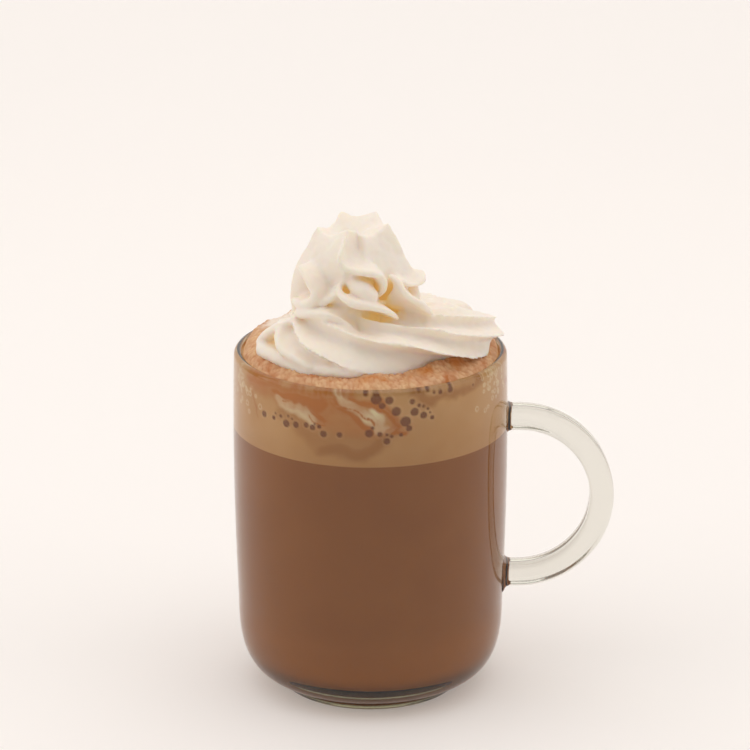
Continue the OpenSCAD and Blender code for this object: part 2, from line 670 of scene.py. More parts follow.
@dataclass(frozen=True)
class WhippedCreamFinish:
    """Whipped dairy cream: soft satin white, with painted yellow shade and a painted glow in its folds."""

    white: str = "fbeee0"
    # Painted yellow shade in the folds, and its painted glow.
    hollow: str = "f4d893"
    grain_mm: float = 0.7
    grain_depth_mm: float = 0.08
    spread_mm: float = 2.2
    painted_glow: float = 0.13

    def build(self) -> bpy.types.Material:
        """Make the cream's material, which reads what CreamSwirl stores on its points.

        Returns:
            Satin cream painted from white to a yellow shade with the stored "hollow", with a painted glow
            there.
        """
        # Whipped cream gives a satin white, with light that spreads under its skin.
        material, tree, output = new_material("whipped_cream")
        place = add_node(tree, "ShaderNodeTexCoord").outputs["Object"]
        hollow = add_node(tree, "ShaderNodeAttribute", attribute_name="hollow").outputs["Fac"]
        # Painted shade: the colour goes from white to yellow with the stored "hollow", how deep a point lies
        # in a fold.
        colour = add_node(
            tree,
            "ShaderNodeMix",
            {0: hollow, 6: linear(self.white), 7: linear(self.hollow)},
            data_type="RGBA",
        )
        # Painted glow: yellow emission in the deepest folds, standing in for light that wanders through the
        # cream.
        painted_glow = add_node(tree, "ShaderNodeMath", {0: hollow, 1: self.painted_glow}, operation="MULTIPLY").outputs[0]
        grain = add_node(
            tree, "ShaderNodeTexNoise", {"Vector": place, "Scale": 1 / (self.grain_mm * MM), "Detail": 3.0}
        )
        bump = add_node(
            tree,
            "ShaderNodeBump",
            {"Height": grain.outputs[0], "Strength": 0.35, "Distance": self.grain_depth_mm * MM},
        )
        shader = add_node(
            tree,
            "ShaderNodeBsdfPrincipled",
            {
                "Base Color": colour.outputs[2],
                "Roughness": 0.42,
                "Specular IOR Level": 0.35,
                "Subsurface Weight": 0.5,
                "Subsurface Radius": (1.0, 0.7, 0.35),
                "Subsurface Scale": self.spread_mm * MM,
                "Normal": bump.outputs[0],
                "Emission Color": linear(self.hollow),
                "Emission Strength": painted_glow,
            },
        )
        tree.links.new(shader.outputs[0], output.inputs["Surface"])
        return material


@dataclass(frozen=True)
class StudioPaper:
    """Matt white paper sweep: warm, and nearly shadowless through a painted glow of its own."""

    colour: str = "eae6e2"
    mottle: str = "e8e4e0"
    mottle_mm: float = 1000 / 3
    painted_glow_colour: str = "fef9f5"
    painted_glow: float = 0.19

    def build(self) -> bpy.types.Material:
        """Make the paper.

        Returns:
            Plain paper with a faint mottle and a painted glow.
        """
        # Paper gives an even matt white; a painted glow of its own keeps its shadows faint, so the mug stands
        # in the open.
        material, tree, output = new_material("studio_paper")
        place = add_node(tree, "ShaderNodeTexCoord").outputs["Object"]
        scale = 1 / (self.mottle_mm * MM)
        fibre = add_node(tree, "ShaderNodeTexNoise", {"Vector": place, "Scale": scale, "Detail": 2.0})
        tone = add_node(
            tree,
            "ShaderNodeValToRGB",
            {0: fibre.outputs[0]},
            stops=[(0.0, self.mottle), (1.0, self.colour)],
        )
        shader = add_node(
            tree,
            "ShaderNodeBsdfPrincipled",
            {
                "Base Color": tone.outputs[0],
                "Roughness": 0.9,
                "Specular IOR Level": 0.0,
                # Painted glow: the paper gives off light of its own to keep its shadows faint.
                "Emission Color": linear(self.painted_glow_colour),
                "Emission Strength": self.painted_glow,
            },
        )
        tree.links.new(shader.outputs[0], output.inputs["Surface"])
        return material


# ---------------------------------------------------------------- the mug


@dataclass
class GlassMug:
    """A round pressed-glass mug with a fused ring handle. Sizes in millimetres."""

    height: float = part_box("glass_mug")[1][2] / MM
    floor_z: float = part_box("hot_chocolate")[0][2] / MM + 0.3
    rim_r: float = 40.0
    belly: float = 0.498
    belly_share: float = 0.68
    wall: float = 2.8
    shoulder_z: float = 27.0
    waist_r: float = 25.5
    waist_z: float = 3.2
    foot_r: float = 28.4
    foot_bead: tuple[tuple[float, float], ...] = (
        (0.8, 2.95), (0.15, 2.6), (0.0, 2.1), (0.3, 1.4), (0.9, 0.55), (1.25, 0.1), (1.7, 0.0),
    )
    foot_hollow: float = 0.5
    foot_flat: tuple[float, float] = (3.0, 5.0)
    inner_flat_r: float = 14.0
    outer_power: float = 2.9
    inner_power: float = 2.4
    handle_z: float = 57.6
    handle_r: float = 24.7
    handle_x: float = 43.97
    bar_t: float = 7.0
    bar_w: float = 7.6
    bar_edge: float = 1.5
    flare: float = 1.6
    steps: int = 160

    def side_r(self, z: float) -> float:
        """Return the outer radius of the side at a height."""
        belly_z = self.belly_share * self.height
        return self.rim_r + self.belly * (1 - ((z - belly_z) / (self.height - belly_z)) ** 2)

    def side(self, inset: float, top: float, count: int = 28) -> list[tuple[float, float]]:
        """Return the side's outline, inset from the outside, from a height down to the shoulder."""
        heights = np.linspace(top, self.shoulder_z, count, endpoint=False)
        return [(self.side_r(z) - inset, z) for z in heights]

    @staticmethod
    def corner(
        start: tuple[float, float], end: tuple[float, float], power: float, count: int = 26
    ) -> list[tuple[float, float]]:
        """Return a rounded corner.

        Args:
            start: Radius and height at its upper end, where it is upright.
            end: Radius and height at its lower end, where it is level.
            power: 2 for an ellipse, more for a squarer corner.
            count: Number of steps.

        Returns:
            The corner's points, downwards.
        """
        turns = np.linspace(0, math.pi / 2, count + 1)
        return [
            (
                end[0] + (start[0] - end[0]) * max(math.cos(a), 0.0) ** (2 / power),
                start[1] - (start[1] - end[1]) * math.sin(a) ** (2 / power),
            )
            for a in turns
        ]

    def inside(self, inset: float, top: float, floor: float) -> list[tuple[float, float]]:
        """Return the outline of what fills the mug, from its upper edge in to the axis.

        Args:
            inset: Distance in from the outer side.
            top: Height of the upper edge.
            floor: Height of the floor.

        Returns:
            Radius and height of each point, in millimetres.
        """
        shoulder = (self.side_r(self.shoulder_z) - inset, self.shoulder_z)
        corner = self.corner(shoulder, (self.inner_flat_r, floor), self.inner_power)
        return self.side(inset, top) + corner + [(0.0, floor)]

    def outline(self) -> list[tuple[float, float]]:
        """Draw the wall's closed section.

        Returns:
            Radius and height of each point in millimetres, from the inner floor up, over and down.
        """
        lip = self.wall / 2
        rim = [
            (self.side_r(self.height) - lip + lip * math.cos(a), self.height - lip + lip * math.sin(a))
            for a in np.linspace(math.pi, 0, 13)
        ]
        inner = self.inside(self.wall, self.height - lip, self.floor_z)[::-1]
        shoulder = (self.side_r(self.shoulder_z), self.shoulder_z)
        outer = self.side(0.0, self.height - lip)[1:]
        outer += self.corner(shoulder, (self.waist_r, self.waist_z), self.outer_power)
        bead = curve_through(np.array(self.foot_bead), 22)
        foot = [(self.foot_r - inward, max(z, 0.0)) for inward, z in bead]
        flat_end, slope_end = (self.foot_r - inward for inward in self.foot_flat)
        hollow = [(flat_end, 0.0), (slope_end, self.foot_hollow), (0.0, self.foot_hollow)]
        return inner[:-1] + rim + outer + foot + hollow

    def bar_section(self, grow_t: float, grow_w: float) -> list[tuple[float, float]]:
        """Return the handle's section as offsets across the ring and along its axis.

        Args:
            grow_t: How much thicker than the bar it is on each side.
            grow_w: How much wider than the bar it is on each side.

        Returns:
            A rounded rectangle's points.
        """
        half_t, half_w = self.bar_t / 2 + grow_t, self.bar_w / 2 + grow_w
        points = []
        for quarter, (st, sw) in enumerate([(1, 1), (-1, 1), (-1, -1), (1, -1)]):
            for a in np.linspace(0, math.pi / 2, 6):
                turn = a + quarter * math.pi / 2
                points.append(
                    (
                        st * (half_t - self.bar_edge) + self.bar_edge * math.cos(turn),
                        sw * (half_w - self.bar_edge) + self.bar_edge * math.sin(turn),
                    )
                )
        return points

    def handle_rings(self) -> list[list[Point]]:
        """Draw the handle's sections, from its upper end round the ring to its lower end.

        Returns:
            Loops of points in metres, of which the first and last lie inside the wall.
        """
        inner_end = self.rim_r - 0.55 * self.wall
        run = np.linspace(0, 1, 13)
        ends = [inner_end + (self.handle_x - inner_end) * u for u in run]
        reach = self.flare + 0.4
        rings = []
        for side, xs in ((1, ends), (-1, ends[::-1])):
            for x in xs:
                gap = min(max(x - (self.rim_r - 0.2), 0.0) / reach, 1.0)
                grow = self.flare * (1 - math.sqrt(1 - (1 - gap) ** 2))
                z = self.handle_z + side * self.handle_r
                rings.append([(x, w, z + side * t) for t, w in self.bar_section(grow, grow)])
            if side == 1:
                for a in np.linspace(math.pi / 2, -math.pi / 2, 61)[1:-1]:
                    across = (math.cos(a), math.sin(a))
                    rings.append(
                        [
                            (
                                self.handle_x + (self.handle_r + t) * across[0],
                                w,
                                self.handle_z + (self.handle_r + t) * across[1],
                            )
                            for t, w in self.bar_section(0, 0)
                        ]
                    )
        return [[(x * MM, y * MM, z * MM) for x, y, z in ring] for ring in rings]

    def build(self) -> bpy.types.Object:
        """Make the mug and its handle as one closed piece of glass.

        Returns:
            The piece.
        """
        body = lathe("mug_glass", [(r * MM, z * MM) for r, z in self.outline()], self.steps)
        handle = loft("mug_handle", self.handle_rings())
        cutter = lathe(
            "mug_inside",
            [(0.0, self.height * MM)]
            + [(r * MM, z * MM) for r, z in self.inside(self.wall, self.height, self.floor_z)],
            self.steps,
        )
        apply_modifier(handle, "BOOLEAN", operation="DIFFERENCE", object=cutter, solver="EXACT")
        apply_modifier(body, "BOOLEAN", operation="UNION", object=handle, solver="EXACT")
        for spare in (handle, cutter):
            bpy.data.objects.remove(spare)
        smooth(body, 50)
        dress(body, SodaLimeGlass().build())
        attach(body, "root")
        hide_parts("glass_mug")
        return body


# ---------------------------------------------------------------- the drink and its foam


@dataclass
class Drink:
    """The brown drink, from the mug's floor up to its foam. Sizes in millimetres."""

    mug: GlassMug
    into_glass: float = 0.15
    steps: int = 160

    def build(self) -> bpy.types.Object:
        """Make the drink so that it reaches just into the glass and leaves no gap.

        Returns:
            The piece.
        """
        low, high = (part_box("hot_chocolate")[k][2] for k in (0, 1))
        outline = self.mug.inside(
            self.mug.wall - self.into_glass, high / MM, self.mug.floor_z - self.into_glass
        )
        piece = lathe(
            "chocolate_drink", [(0.0, high)] + [(r * MM, z * MM) for r, z in outline], self.steps
        )
        smooth(piece, 50)
        dress(piece, MilkChocolateDrink().build(low, high))
        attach(piece, "root")
        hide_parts("hot_chocolate")
        return piece


class Stir(Enum):
    """What a smear in the foam is made of."""

    COCOA = "cocoa"
    CREAM = "cream"
    SHADE = "shade"


@dataclass(frozen=True)
class Smear:
    """A streak in the foam behind the glass: degrees round from the front, and height in mm."""

    stuff: Stir
    path: tuple[tuple[float, float], ...]
    width: float
    end_width: float
    strength: float = 1.0


@dataclass
class MilkFoam:
    """The foam between the drink and the cream, with froth above the rim. Sizes in millimetres."""

    mug: GlassMug
    into_glass: float = 0.15
    froth_rise: float = 2.6
    back_rise: float = 1.7
    ridge_r: float = 31.6
    bed_end: float = 21.0
    bubble_h: float = 0.8
    meet_r: float = 29.2
    meet_h: float = 1.2
    steps: int = 640
    path_steps: int = 24
    bubble_scale: float = 0.86
    pale_groups: tuple[tuple[float, float, int], ...] = (
        (-68, 96.0, 26), (68, 98.5, 30), (58, 94.0, 8), (128, 97.0, 20), (215, 96.0, 20),
    )
    bubbles: tuple[Point, ...] = (
        (-51, 91.5, 1.1), (-45, 91.4, 0.7), (-44, 92.9, 0.35), (-41, 92.5, 0.55), (-37, 93.1, 0.4),
        (-35, 92.5, 0.35), (-38, 90.7, 1.25), (-33, 91.0, 1.05), (-28, 91.5, 0.85), (-25, 91.1, 0.95),
        (-24, 92.2, 0.35), (-22, 91.6, 0.7), (-20, 89.6, 1.1), (-13, 89.8, 0.9), (-0.5, 90.5, 1.3),
        (1, 92.1, 0.55), (4, 90.2, 0.85), (7, 90.0, 0.5), (9, 89.5, 0.55), (7, 88.1, 1.05),
        (13, 89.8, 0.65), (-2, 102.0, 0.8), (2.5, 100.5, 1.7), (8, 100.1, 1.3), (5, 98.6, 1.05),
        (11, 96.8, 1.5), (19, 96.2, 1.35), (23, 94.9, 1.15), (18, 99.3, 0.9), (21, 98.0, 0.6),
        (23, 97.6, 0.5), (25, 96.7, 0.45), (26, 95.5, 0.35), (27, 93.9, 0.7), (15, 93.6, 1.7),
        (16.5, 91.5, 1.0), (21, 102.3, 0.85), (25, 102.2, 0.9), (28, 101.1, 0.5), (31, 100.9, 0.7),
        (36, 101.0, 0.95), (49, 100.5, 0.4),
    )

    def outline(self) -> list[tuple[float, float]]:
        """Draw the foam's section.

        Returns:
            Radius and height of each point in millimetres, over the froth and down the glass.
        """
        mug = self.mug
        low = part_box("milk_foam")[0][2] / MM
        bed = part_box("whipped_cream")[0][2] / MM
        peak = mug.height + self.froth_rise
        edge_r = mug.side_r(mug.height) - mug.wall + self.into_glass
        edge_z = mug.height - mug.wall / 2
        rise = [
            (r, bed + (peak - bed) * ease(r, self.bed_end, self.ridge_r))
            for r in np.linspace(self.bed_end, self.ridge_r, 27)
        ]
        fall = [
            (
                self.ridge_r + (edge_r - self.ridge_r) * math.sin(a),
                edge_z + (peak - edge_z) * math.cos(a),
            )
            for a in np.linspace(0, math.pi / 2, 13)[1:]
        ]
        wall = [
            (mug.side_r(z) - mug.wall + self.into_glass, z) for z in np.linspace(edge_z, low, 60)[1:]
        ]
        return [(0.0, bed), (12.0, bed)] + rise + fall + wall + [(20.0, low), (0.0, low)]

    def smears(self) -> list[Smear]:
        """List the streaks: those at the front one by one, and like ones round the back.

        Returns:
            Every streak in the foam.
        """
        cocoa, cream, shade = Stir.COCOA, Stir.CREAM, Stir.SHADE
        front = [
            Smear(cocoa, ((-60, 99.6), (-45, 98.6), (-30, 97.6), (-18, 97.2), (-6, 98.0)), 2.8, 3.6, 0.55),
            Smear(cocoa, ((-24, 96.4), (-14, 93.4), (-4, 91.8), (6, 92.4), (13, 92.6)), 3.6, 2.8, 0.46),
            Smear(cocoa, ((-47, 99.2), (-36, 99.4), (-29, 98.9), (-22, 98.6)), 0.9, 2.4),
            Smear(cocoa, ((-40, 97.4), (-31, 98.4), (-24, 97.4), (-19, 95.0)), 0.35, 0.5),
            Smear(cocoa, ((-30, 100.2), (-20, 99.8), (-12, 98.6), (-5, 96.6), (0, 93.6)), 0.4, 0.5),
            Smear(cocoa, ((-26, 95.2), (-22, 93.4), (-17, 92.4)), 0.35, 0.4, 0.8),
            Smear(cocoa, ((6, 99.4), (9, 96.6), (11, 93.8), (8, 91.2)), 0.8, 1.5, 0.7),
            Smear(cocoa, ((-34, 97.8), (-27, 97.0), (-21, 95.4), (-17, 93.8)), 0.6, 0.8, 0.85),
            Smear(cocoa, ((-62, 100.6), (-52, 101), (-40, 101.3), (-25, 101.3), (-8, 101.4)), 1.4, 1.2, 0.75),
            Smear(cocoa, ((-61, 98.3), (-59, 92.8), (-55, 90.1)), 0.7, 0.4, 0.45),
            Smear(cream, ((-44, 97.6), (-37, 96.2), (-31, 95.6), (-24, 94.3)), 1.4, 2.0, 0.95),
            Smear(cocoa, ((-17, 100.6), (-14.5, 99.6), (-16, 98.1), (-18.5, 99.0)), 0.5, 0.4, 0.8),
            Smear(cocoa, ((-23, 98.5), (-20, 96.0), (-18, 93.5), (-15, 91.6)), 0.7, 0.3, 0.45),
            Smear(cocoa, ((-14, 97.6), (-9, 97.8)), 0.5, 0.7),
            Smear(cream, ((-12.5, 101.4), (-7.5, 98.9), (-3, 95.9), (2.5, 92.0)), 1.9, 1.6, 1.0),
            Smear(cocoa, ((-11, 97.2), (-9, 95.9), (-6, 93.9), (-1, 90.7)), 1.0, 1.3, 0.95),
            Smear(cocoa, ((-8, 101.3), (-2, 99.7), (5, 97.5)), 0.5, 1.3, 0.9),
            Smear(cocoa, ((1, 98.9), (4, 97.0), (7, 96.1), (10, 94.2), (12, 92.5), (11, 90.4), (14, 89.7)),
                  0.9, 0.8, 0.9),
            Smear(cream, ((1, 97.0), (3, 94.4), (4, 92.8), (8, 91.6)), 1.3, 1.4, 0.9),
            Smear(shade, ((-20, 86.0), (-12, 84.8), (-4, 84.6), (4, 87.0), (9, 89.4)), 2.2, 2.6, 0.8),
            Smear(shade, ((19, 101.4), (28, 99.0), (40, 99.0), (54, 100.4)), 1.6, 1.2, 0.75),
            Smear(shade, ((-40, 93.5), (-25, 89.0), (-8, 88.2), (8, 88.4)), 2.6, 3.0, 0.5),
        ]
        chance = random.Random(11)
        for turn in range(90, 268, 13):
            at, top = turn + chance.uniform(-6, 6), chance.uniform(94, 101)
            drop, run = chance.uniform(1, 9), chance.choice((-1, 1)) * chance.uniform(8, 24)
            bend = chance.uniform(-2.5, 2.5)
            path = (
                (at, top), (at + run * 0.35, top - drop * 0.2 + bend), (at + run * 0.7, top - drop * 0.7),
                (at + run, top - drop),
            )
            veil = tuple((a + 2, z - 1.5) for a, z in path)
            front.append(Smear(cocoa, veil, 2.4, chance.uniform(2.4, 4.0), 0.45))
            front.append(Smear(cocoa, path, chance.uniform(0.5, 1.0), chance.uniform(0.8, 2.2), 0.9))
            if chance.random() < 0.6:
                beside = tuple((a + 4, z + 1.8) for a, z in path)
                front.append(Smear(cream, beside, chance.uniform(0.8, 1.8), 1.2, 0.9))
        return front

    def all_bubbles(self) -> list[Point]:
        """List the dark bubbles: those at the front one by one, and chains round the back.

        Returns:
            Degrees round from the front, height and radius of each, in millimetres.
        """
        chance = random.Random(5)
        found = list(self.bubbles)
        for turn in range(80, 264, 4):
            if chance.random() < 0.62:
                found.append(
                    (turn + chance.uniform(-2, 2), chance.gauss(91.5, 1.3), chance.uniform(0.35, 1.2))
                )
            if chance.random() < 0.25:
                found.append(
                    (turn + chance.uniform(-2, 2), chance.uniform(95, 101), chance.uniform(0.4, 1.5))
                )
        return found

    def pale_bubbles(self) -> list[Point]:
        """List the small pale bubbles that cling to the glass at both sides, drawn as painted highlight
        rings.

        Returns:
            Degrees round from the front, height and radius of each, in millimetres.
        """
        chance = random.Random(23)
        found = []
        for middle, height, count in self.pale_groups:
            for _ in range(count):
                at, up = chance.gauss(middle, 6.5), chance.gauss(height, 2.6)
                found.append((at, min(up, 101.5), chance.uniform(0.3, 0.75)))
        return found

    def stir(self, places: np.ndarray) -> dict[str, np.ndarray]:
        """Work out what is stirred into the foam at each point, with painted highlights round its bubbles.

        Args:
            places: The foam's points, in metres.

        Returns:
            For each stored name, a value from 0 to 1 at each point.
        """
        x, y, z = (places / MM).T
        angle = np.degrees(np.arctan2(x, -y))
        radius = np.hypot(x, y)
        on_wall = ease(radius, 36.2, 36.6) * ease(self.mug.height - z, -1.0, 0.2)
        mm_per_degree = math.radians(self.mug.rim_r - self.mug.wall)
        warp_along = wander(places, 7.0, 1) * 1.3 + wander(places, 2.4, 2) * 0.5
        warp_up = wander(places, 6.0, 3) * 1.1 + wander(places, 2.0, 4) * 0.4
        stored = {stuff.value: np.zeros(len(x)) for stuff in Stir}
        for smear in self.smears():
            path = curve_through(np.array(smear.path), self.path_steps)
            share = np.zeros(len(x))
            for k, (at, height) in enumerate(path):
                along = turn_from(angle, at) * mm_per_degree + warp_along
                far = np.hypot(along, z - height + warp_up)
                width = smear.width + (smear.end_width - smear.width) * k / (self.path_steps - 1)
                share = np.maximum(share, 1 - ease(far / width, 0.25, 1.6))
            stored[smear.stuff.value] = np.maximum(
                stored[smear.stuff.value], share * smear.strength * on_wall
            )
        bubble = np.zeros(len(x))
        for at, height, size in self.all_bubbles():
            along = turn_from(angle, at) * mm_per_degree
            far = np.hypot(along, z - height)
            size = self.bubble_scale * size
            inside = (0.9 if size < 0.7 else 0.76) * (1 - ease(far, size - 0.3, size + 0.2))
            skin = 0.9 * np.exp(-(((far - size + 0.2) / 0.22) ** 2))
            bubble = np.maximum(bubble, np.maximum(inside, skin) * on_wall)
            # Painted highlight: a faint pale ring round each dark bubble, laid into the cream layer.
            pale = np.exp(-(((far - size - 0.45) / 0.25) ** 2)) * on_wall * 0.14
            stored["cream"] = np.maximum(stored["cream"], pale)
        # Painted highlights: the small pale bubbles are drawn as bright rings in the cream layer.
        for at, height, size in self.pale_bubbles():
            along = turn_from(angle, at) * mm_per_degree
            skin = np.exp(-(((np.hypot(along, z - height) - size) / 0.2) ** 2))
            stored["cream"] = np.maximum(stored["cream"], 0.5 * skin * on_wall)
        stored["bubble"] = bubble
        stored["pit"] = self.pits(places)
        stored["froth"] = ease(z, self.mug.height - 1.2, self.mug.height - 0.2)
        back_left = np.exp(-(((angle + 128) / 20) ** 4)) * np.exp(-(((radius - 31.5) / 3.6) ** 4))
        stored["patch"] = back_left * stored["froth"]
        stain = ease(wander(places, 5.0, 12), 0.0, 0.5) * np.exp(-(((radius - 31) / 2.6) ** 2))
        stored["cocoa"] = np.maximum(stored["cocoa"], 0.55 * stain * stored["froth"] * (1 - back_left))
        return stored

    def froth(self, places: np.ndarray) -> np.ndarray:
        """Shape the froth: tilted, lumpy and covered in small bubbles.

        Args:
            places: The foam's points, in metres.

        Returns:
            The points with those of the froth moved.
        """
        moved = places.copy()
        x, y, z = (places / MM).T
        radius = np.hypot(x, y)
        edge_z = self.mug.height - self.mug.wall / 2
        over = ease(z, edge_z, edge_z + 1.5) * ease(radius, self.bed_end, self.bed_end + 3)
        lift = over * y / self.ridge_r * self.back_rise
        lift += over * (0.7 * wander(places, 9.0, 5) + 0.35 * wander(places, 3.5, 6))
        lift -= over * self.bubble_h * (self.pits(places) - 0.5)
        # The froth climbs a little where it meets the cream's foot.
        lift += over * self.meet_h * np.exp(-(((radius - self.meet_r) / 2.2) ** 2)) * ease(-y, 5.0, 20.0)
        moved[:, 2] += lift * MM
        return moved

    def pits(self, places: np.ndarray) -> np.ndarray:
        """Work out how deep each point lies between the froth's small bubbles.

        Args:
            places: The foam's points, in metres.

        Returns:
            A depth from 0 to about 1 at each point.
        """
        deep = np.zeros(len(places))
        for i in np.nonzero(places[:, 2] > (self.mug.height - 2) * MM)[0]:
            spot = Vector(places[i] / MM)
            big = noise.voronoi(spot / 1.8)[0]
            small = noise.voronoi(spot / 0.9 + Vector((7, 3, 1)))[0]
            deep[i] = 0.65 * (big[0] / big[1]) ** 2 + 0.35 * (small[0] / small[1]) ** 2
        return deep

    def build(self) -> bpy.types.Object:
        """Make the foam, roughen the froth that stands above the rim, and store its stirring.

        Returns:
            The piece.
        """
        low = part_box("milk_foam")[0][2]
        piece = lathe("milk_foam_layer", [(r * MM, z * MM) for r, z in self.outline()], self.steps)
        places = points_of(piece)
        for name, values in self.stir(places).items():
            store(piece, name, values)
        place_points(piece, self.froth(places))
        smooth(piece, 60)
        dress(piece, CocoaMilkFoam().build(low, self.mug.height * MM))
        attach(piece, "root")
        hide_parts("milk_foam")
        return piece


# ---------------------------------------------------------------- the whipped cream


@dataclass(frozen=True)
class Petal:
    """One upright crest of the crown, and the hollow face that follows it, seen from above.

    Its stations are degrees, radius and height in millimetres, from the foot to the top.
    """

    stations: tuple[Point, ...]
    hollow: float
    sag: float


@dataclass(frozen=True)
class Dent:
    """A scoop in the crown: degrees, height, half width in degrees, half height and depth."""

    at: float
    height: float
    half_w: float
    half_h: float
    depth: float


@dataclass(frozen=True)
class Crest:
    """One crisp lip of cream. Its points are x, y, z in millimetres, from end to end."""

    name: str
    points: tuple[Point, ...]
    depth: float = 8.0
    width: float = 3.6
    lift: float = 2.0
    tip: float = 0.9


@dataclass
class CreamSwirl:
    """Cream from a star nozzle: a thick ring, and a tall crown of folds on it. Millimetres."""

    ring_r: float = 18.0
    ring_w: float = 14.5
    ring_h: float = 9.5
    ring_z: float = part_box("whipped_cream")[0][2] / MM + 5.3
    right_reach: float = 7.5
    left_reach: float = 2.5
    right_fall: float = 0.34
    groove: float = 0.37
    start: float = -168.0
    end: float = 126.0
    ridges: tuple[tuple[tuple[float, float], ...], ...] = (
        ((-168, 60), (-150, 34), (-144, 14), (-135, -7), (-118, -26), (-100, -44), (0, -145), (126, -270)),
        ((-168, 82), (-145, 52), (-139, 42), (-129, 20), (-117, 4), (-104, -14), (-90, -29), (0, -108),
         (126, -222)),
        ((-168, 105), (-138, 68), (-131, 66), (-115, 59), (-99, 44), (-85, 32), (-75, 28), (-66, 21),
         (-56, 8), (-32, -24), (0, -62), (126, -177)),
        ((-168, 152), (-115, 104), (-76, 68), (-66, 60), (-56, 53), (-48, 44), (-43, 34), (-33, 23),
         (-6, -6), (30, -38), (126, -132)),
        ((-168, 197), (-115, 150), (-60, 104), (-10, 44), (8, 18), (126, -87)),
        ((-168, 242), (-115, 195), (-60, 150), (0, 88), (126, -42)),
        ((-168, 285), (-115, 240), (-60, 195), (0, 133), (126, 3)),
        ((-168, 325), (-115, 285), (-60, 240), (0, 175), (126, 48)),
    )
    crown_x: float = -4.2
    voxel: float = 0.45
    ring_steps: int = 210
    ring_sides: int = 144
    rounded_share: float = 0.07
    crown_levels: int = 56
    cup_depth: float = 5.0
    looks: int = 10
    look_far: float = 9.0
    look_turn: float = 2.4
    fold_from: float = 0.52
    fold_passes: int = 6
    petals: tuple[Petal, ...] = (
        Petal(
            ((196, 19.8, 106), (194, 19.9, 119.6), (190, 18.6, 127.7), (186, 15.8, 133), (180, 11.2, 140.2)),
            hollow=0.15, sag=1.8,
        ),
        Petal(
            ((262, 16, 106), (260, 16, 124), (258, 17.2, 133), (256.5, 15.4, 138), (259, 11.6, 142.4)),
            hollow=0.21, sag=3.0,
        ),
        Petal(
            ((336, 20, 106), (337, 20.6, 122), (339, 18.0, 128.5), (341, 14.8, 134), (342, 10.2, 142.4)),
            hollow=0.22, sag=1.6,
        ),
        Petal(
            ((405, 19, 106), (408, 18.5, 120), (410, 16.5, 128), (411, 14, 135), (412, 9.8, 142.8)),
            hollow=0.22, sag=1.4,
        ),
        Petal(
            ((473, 19, 106), (474, 18.5, 120), (475, 16.5, 128), (476, 14, 135), (477, 9.8, 142.6)),
            hollow=0.22, sag=1.8,
        ),
    )
    dents: tuple[Dent, ...] = (
        Dent(266, 126.0, 13, 4.4, -0.8),
        Dent(272, 137.0, 8.0, 5.0, 3.6),
        Dent(268, 116.5, 26, 4.4, -3.6),
        Dent(213, 126.0, 11, 4.6, 2.4),
        Dent(303, 120.5, 16, 4.0, 2.2),
        Dent(325, 124.5, 10, 1.8, 2.2),
        Dent(222, 117.5, 26, 2.6, 2.0),
        Dent(275, 132.0, 13, 3.0, -2.8),
        Dent(72, 126.5, 12, 4.4, 2.4),
        Dent(98, 136.0, 8, 5.0, 2.6),
        Dent(38, 119.0, 18, 3.6, 2.0),
        Dent(118, 120.0, 16, 3.6, 2.2),
    )

    def star(self, section: np.ndarray, turn: float) -> np.ndarray:
        """Return the ring's size round its section, 1 on a ridge: steep below it, easy above.

        Args:
            section: Degrees round the rope's section, 0 outwards and 90 up.
            turn: Degrees round the mug.

        Returns:
            The size at each angle.
        """
        crests = np.sort([np.interp(turn, *zip(*ridge)) % 360 for ridge in self.ridges])
        crests = np.concatenate([crests[-1:] - 360, crests, crests[:1] + 360])
        above = np.clip(np.searchsorted(crests, section % 360, side="left"), 1, len(crests) - 1)
        gap = crests[above] - crests[above - 1]
        down = (crests[above] - section % 360) / gap
        depth = self.groove * np.minimum(gap / 42, 1.15)
        depth = depth * (1 - 0.6 * math.exp(-(((turn - 2) / 16) ** 2)))
        return 1 - depth * np.sin(math.pi * down**0.6) ** 0.9

    def ring(self) -> bpy.types.Object:
        """Make the lower ring as a twisted star rope that starts at the left and runs round.

        Returns:
            A closed object.
        """
        section = np.arange(self.ring_sides) * 360 / self.ring_sides
        rings = []
        for u in np.linspace(0, 1, self.ring_steps):
            t = self.start + (self.end - self.start) * u
            fat = 1.0
            if u < self.rounded_share:
                fat = 0.2 + 0.8 * math.sqrt(1 - (1 - u / self.rounded_share) ** 2)
            if u > 1 - self.rounded_share:
                last = (u - 1 + self.rounded_share) / self.rounded_share
                fat = 0.25 + 0.75 * math.sqrt(max(1 - last**2, 0))
            size = self.star(section, t) * fat
            a = np.radians(section)
            turn = math.radians(t)
            height = self.ring_h * (1 - self.right_fall * ease(t, -35, 15))
            reach = self.right_reach * max(math.cos(turn), 0) ** 3
            reach *= 1 - ease(t, -5, 20)
            reach += self.left_reach * max(-math.cos(turn), 0) ** 3
            r = self.ring_r + reach + self.ring_w * size * np.cos(a)
            z = self.ring_z + height * size * np.sin(a)
            rings.append(
                [(x * MM, y * MM, h * MM) for x, y, h in zip(r * math.cos(turn), r * math.sin(turn), z)]
            )
        return loft("cream_ring", rings)

